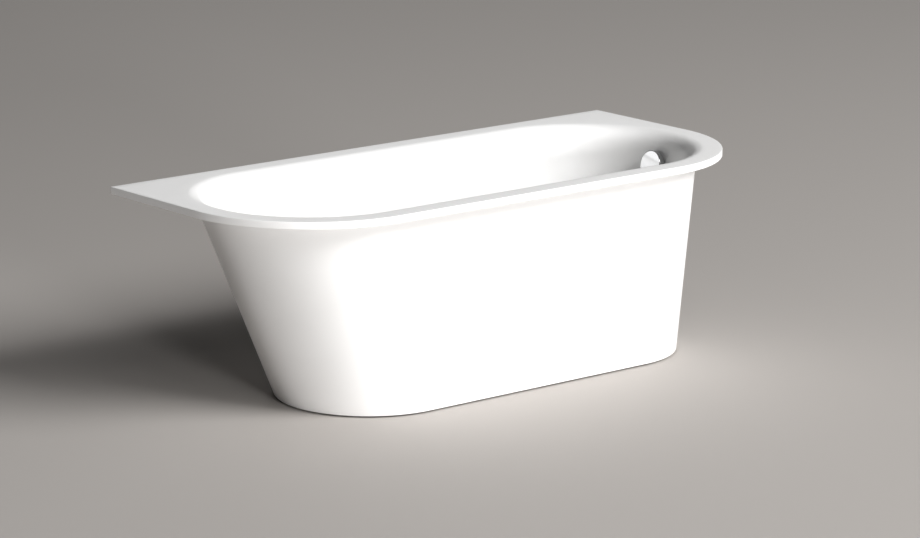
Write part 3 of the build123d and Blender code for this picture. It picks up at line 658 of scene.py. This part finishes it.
class Finish:
    """A material with a Principled shader and short ways to add nodes that read Object
    coordinates."""

    def __init__(self, name, colour, roughness, metallic=0.0):
        self.material = bpy.data.materials.new(name)
        self.material.use_nodes = True
        self.tree = self.material.node_tree
        self.shader = self.tree.nodes["Principled BSDF"]
        self.shader.inputs["Base Color"].default_value = (*colour, 1)
        self.shader.inputs["Roughness"].default_value = roughness
        self.shader.inputs["Metallic"].default_value = metallic
        self.place = self.tree.nodes.new("ShaderNodeTexCoord").outputs["Object"]

    def add(self, kind, **values):
        node = self.tree.nodes.new(kind)
        for key, value in values.items():
            setattr(node, key, value)
        return node

    def link(self, output, target):
        self.tree.links.new(output, target)

    def noise(self, scale, detail=3.0, stretch=(1, 1, 1)):
        """Noise on Object coordinates; scale is features per metre."""
        mapping = self.add("ShaderNodeMapping")
        mapping.inputs["Scale"].default_value = stretch
        self.link(self.place, mapping.inputs["Vector"])
        node = self.add("ShaderNodeTexNoise")
        node.inputs["Scale"].default_value = scale
        node.inputs["Detail"].default_value = detail
        self.link(mapping.outputs["Vector"], node.inputs["Vector"])
        return node.outputs["Fac"]

    def spread(self, value, low, high, source=(0.3, 0.7)):
        """A value carried from one range to another."""
        node = self.add("ShaderNodeMapRange")
        node.inputs["From Min"].default_value = source[0]
        node.inputs["From Max"].default_value = source[1]
        node.inputs["To Min"].default_value = low
        node.inputs["To Max"].default_value = high
        self.link(value, node.inputs["Value"])
        return node.outputs["Result"]

    def blend(self, factor, first, second):
        """A colour between two, by a factor."""
        node = self.add("ShaderNodeMix", data_type="RGBA")
        node.inputs[6].default_value = (*first, 1)
        node.inputs[7].default_value = (*second, 1)
        self.link(factor, node.inputs[0])
        return node.outputs[2]

    def colour(self, output):
        self.link(output, self.shader.inputs["Base Color"])

    def roughness(self, output):
        self.link(output, self.shader.inputs["Roughness"])

    def bump(self, heights, strength, distance):
        """Bumps one after another, each from a height and its own distance in metres."""
        last = None
        for height, far in zip(heights, distance):
            node = self.add("ShaderNodeBump")
            node.inputs["Strength"].default_value = strength
            node.inputs["Distance"].default_value = far
            self.link(height, node.inputs["Height"])
            if last:
                self.link(last, node.inputs["Normal"])
            last = node.outputs["Normal"]
        self.link(last, self.shader.inputs["Normal"])


def stone_resin():
    """White mineral casting resin: silky matt, barely mottled, hand-sanded evenness."""
    f = Finish("stone_resin", (0.926, 0.922, 0.914), 0.42)
    cloud = f.spread(f.noise(7, 2), 0, 1)
    f.colour(f.blend(cloud, (0.935, 0.931, 0.924), (0.917, 0.912, 0.904)))
    f.roughness(f.spread(f.noise(55, 4), 0.36, 0.46))
    f.shader.inputs["Specular IOR Level"].default_value = 0.3
    f.bump([f.noise(1400, 2), f.noise(60, 2)], 0.25, [0.00002, 0.00006])
    return f.material


def polished_chrome():
    """Bright chrome plate with a breath of polishing haze."""
    f = Finish("polished_chrome", (0.6, 0.605, 0.61), 0.05, 1.0)
    f.roughness(f.spread(f.noise(220, 3), 0.035, 0.085))
    f.bump([f.noise(90, 1)], 0.1, [0.00002])
    return f.material


def turned_brass():
    """Brass with fine turning lines."""
    f = Finish("turned_brass", (0.72, 0.55, 0.28), 0.28, 1.0)
    f.colour(f.blend(f.noise(40, 3), (0.74, 0.57, 0.3), (0.62, 0.46, 0.22)))
    f.roughness(f.spread(f.noise(300, 2, (1, 1, 12)), 0.2, 0.38))
    return f.material


def zinc_plate():
    """Zinc-plated steel with a faint spangle."""
    f = Finish("zinc_plate", (0.62, 0.62, 0.6), 0.32, 1.0)
    f.colour(f.blend(f.noise(260, 3), (0.68, 0.68, 0.66), (0.52, 0.53, 0.53)))
    f.roughness(f.spread(f.noise(180, 3), 0.24, 0.42))
    f.bump([f.noise(900, 2)], 0.2, [0.00002])
    return f.material


def stainless():
    """Stainless steel with a drawn grain."""
    f = Finish("stainless", (0.66, 0.65, 0.63), 0.26, 1.0)
    f.roughness(f.spread(f.noise(500, 2, (1, 8, 1)), 0.2, 0.36))
    f.bump([f.noise(700, 2, (1, 8, 1))], 0.2, [0.00002])
    return f.material


def powder_coat():
    """Dark grey powder coat with a fine orange peel."""
    f = Finish("powder_coat", (0.075, 0.078, 0.082), 0.5)
    f.colour(f.blend(f.noise(30, 3), (0.07, 0.073, 0.078), (0.095, 0.097, 0.1)))
    f.roughness(f.spread(f.noise(400, 3), 0.42, 0.6))
    f.bump([f.noise(650, 2)], 0.4, [0.0001])
    return f.material


def moulded(name, light, dark, grain=900, low=0.4, high=0.55):
    """Injection-moulded plastic: even colour with slight flow marks and a spark-eroded grain."""
    f = Finish(name, light, (low + high) / 2)
    f.colour(f.blend(f.noise(25, 3), light, dark))
    f.roughness(f.spread(f.noise(grain / 3, 3), low, high))
    f.bump([f.noise(grain, 2)], 0.3, [0.00005])
    return f.material


def soft_rubber():
    """Black rubber with faint dusty patches at random."""
    f = Finish("soft_rubber", (0.03, 0.03, 0.031), 0.75)
    f.colour(f.blend(f.spread(f.noise(60, 4), 0, 1), (0.026, 0.026, 0.027), (0.05, 0.049, 0.047)))
    f.roughness(f.spread(f.noise(500, 3), 0.68, 0.88))
    f.bump([f.noise(1200, 2)], 0.4, [0.00006])
    return f.material


def repaint(material, *names):
    """Give CAD nodes a finish."""
    for name in names:
        node = nodes[name]
        node.data.materials.clear()
        node.data.materials.append(material)


# Stage

def floor_material(name, colour):
    """Plain pale floor: an even warm grey, nearly matt."""
    f = Finish(name, colour, 0.8)
    f.shader.inputs["Specular IOR Level"].default_value = 0.35
    light = tuple(c * 1.015 for c in colour)
    dark = tuple(c * 0.985 for c in colour)
    f.colour(f.blend(f.noise(900, 2), light, dark))
    return f.material


def floor():
    """Wide level floor; the camera looks down far enough that its edge is never seen."""
    half = 40.0
    mesh = bpy.data.meshes.new("floor")
    mesh.from_pydata([(-half, -half, 0), (half, -half, 0), (half, half, 0), (-half, half, 0)], [],
                     [(0, 1, 2, 3)])
    mesh.materials.append(floor_material("studio_floor", (0.474, 0.446, 0.422)))
    plane = bpy.data.objects.new("floor", mesh)
    bpy.context.scene.collection.objects.link(plane)


def softbox(name, azimuth, elevation, distance, width, height, share):
    """Rectangular softbox on a sphere round the bath. Azimuth is counted from +X towards +Y. share
    is the brightness that a white sheet facing the box would have beside the bath."""
    a, e = math.radians(azimuth), math.radians(elevation)
    way = Vector((math.cos(a) * math.cos(e), math.sin(a) * math.cos(e), math.sin(e)))
    lamp = bpy.data.lights.new(name, "AREA")
    lamp.shape = "RECTANGLE"
    lamp.size, lamp.size_y = width, height
    lamp.energy = share * (math.pi * distance) ** 2
    box = bpy.data.objects.new(name, lamp)
    box.location = way * distance + Vector((0, 0, 0.2))
    box.rotation_mode = "QUATERNION"
    box.rotation_quaternion = (-way).to_track_quat("-Z", "Y")
    bpy.context.scene.collection.objects.link(box)


def lights():
    """A broad soft key from the front right, a low front fill, fainter ones from the left and the
    wall side, and a small card that the knob's face mirrors. The studio's dim walls show in
    reflections and give next to no light themselves."""
    softbox("key", 292, 35, 18.0, 11.0, 7.2, 1.16)
    softbox("front", 255, 6, 18.0, 3.0, 2.2, 0.56)
    softbox("left", 246, 46, 18.0, 7.2, 7.2, 0.12)
    softbox("wall_side", 50, 22, 18.0, 6.5, 6.5, 0.05)
    softbox("knob_card", 133.4, 8.4, 10.0, 2.2, 1.6, 0.017)
    world = bpy.data.worlds.new("studio")
    world.use_nodes = True
    tree = world.node_tree
    background = tree.nodes["Background"]
    background.inputs["Color"].default_value = (1, 0.97, 0.94, 1)
    path = tree.nodes.new("ShaderNodeLightPath")
    seen = path.outputs["Is Camera Ray"]
    for name in ("Is Glossy Ray", "Is Transmission Ray"):
        step = tree.nodes.new("ShaderNodeMath")
        step.operation = "MAXIMUM"
        tree.links.new(seen, step.inputs[0])
        tree.links.new(path.outputs[name], step.inputs[1])
        seen = step.outputs[0]
    strength = tree.nodes.new("ShaderNodeMapRange")
    strength.inputs["To Min"].default_value = 0.003
    strength.inputs["To Max"].default_value = 0.09
    tree.links.new(seen, strength.inputs["Value"])
    tree.links.new(strength.outputs["Result"], background.inputs["Strength"])
    bpy.context.scene.world = world


# Camera: fitted to the rim's outline and the foot of the skirt
VIEW_AZIMUTH = -39.93
VIEW_ELEVATION = 13.21
VIEW_ROLL = 0.24
VIEW_LENS = 150.88
VIEW_PLACE = (-6.4545, -7.7424, RIM_TOP + 2.0887)


def camera():
    """Camera at the measured place, with a long lens and no shift."""
    azimuth, elevation = math.radians(VIEW_AZIMUTH), math.radians(VIEW_ELEVATION)
    back = Vector((math.sin(azimuth) * math.cos(elevation), -math.cos(azimuth) * math.cos(elevation),
                   math.sin(elevation)))
    data = bpy.data.cameras.new("camera")
    data.lens = VIEW_LENS
    data.sensor_width = 36.0
    data.clip_end = 100.0
    eye = bpy.data.objects.new("camera", data)
    eye.location = VIEW_PLACE
    eye.rotation_mode = "QUATERNION"
    roll = Matrix.Rotation(math.radians(VIEW_ROLL), 3, back)
    eye.rotation_quaternion = (roll @ (-back).to_track_quat("-Z", "Y").to_matrix()).to_quaternion()
    bpy.context.scene.collection.objects.link(eye)
    bpy.context.scene.camera = eye


def build():
    """Every piece and finish."""
    stone = stone_resin()
    chrome = polished_chrome()
    black = moulded("black_plastic", (0.024, 0.024, 0.026), (0.034, 0.034, 0.036))
    white = moulded("white_plastic", (0.78, 0.78, 0.76), (0.72, 0.72, 0.7), low=0.3, high=0.45)
    rubber = soft_rubber()
    stone_basin(stone)
    stone_skirt(stone)
    knob(chrome)
    plug(chrome)
    repaint(chrome, "overflow_flange", "waste_flange")
    repaint(turned_brass(), "knob_spindle", "plug_stem")
    repaint(powder_coat(), "base_frame")
    zinc = zinc_plate()
    hex_nuts("nuts_under_frame", "frame_nuts", zinc)
    hex_nuts("lock_nuts", "foot_lock_nuts", zinc)
    for k in range(1, 5):
        threaded_stem(f"foot_{k}_stem", f"foot_{k}", zinc)
        foot_disc(f"foot_{k}_pad", f"foot_{k}", black)
    repaint(stainless(), "flange_screws", "knob_grub_screw", "upper_wire", "upper_ferrule",
            "lower_ferrule", "hose_clips")
    repaint(black, "overflow_housing", "waste_body", "cable_drum", "lift_slider", "bowden_sheath")
    trap_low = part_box("trap_nut")[0].z
    ring_nut("trap_ring_nut", "trap_nut", (WASTE_X, 0, trap_low), (0, 0, 1), white, TRAP_BORE, TRAP_RIBS)
    outlet_low, outlet_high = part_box("outlet_nut")
    ring_nut("outlet_ring_nut", "outlet_nut", (outlet_low.x, 0, (outlet_low.z + outlet_high.z) / 2),
             (1, 0, 0), white, OUTLET_BORE, OUTLET_RIBS)
    repaint(white, "trap_cup", "outlet_elbow")
    repaint(rubber, "support_pads", "overflow_seal", "waste_seal", "trap_washer", "plug_seal")
    corrugated_hose(moulded("grey_hose", (0.36, 0.37, 0.38), (0.42, 0.43, 0.44)))


build()
floor()
lights()
camera()
bpy.context.scene.view_settings.view_transform = "Standard"
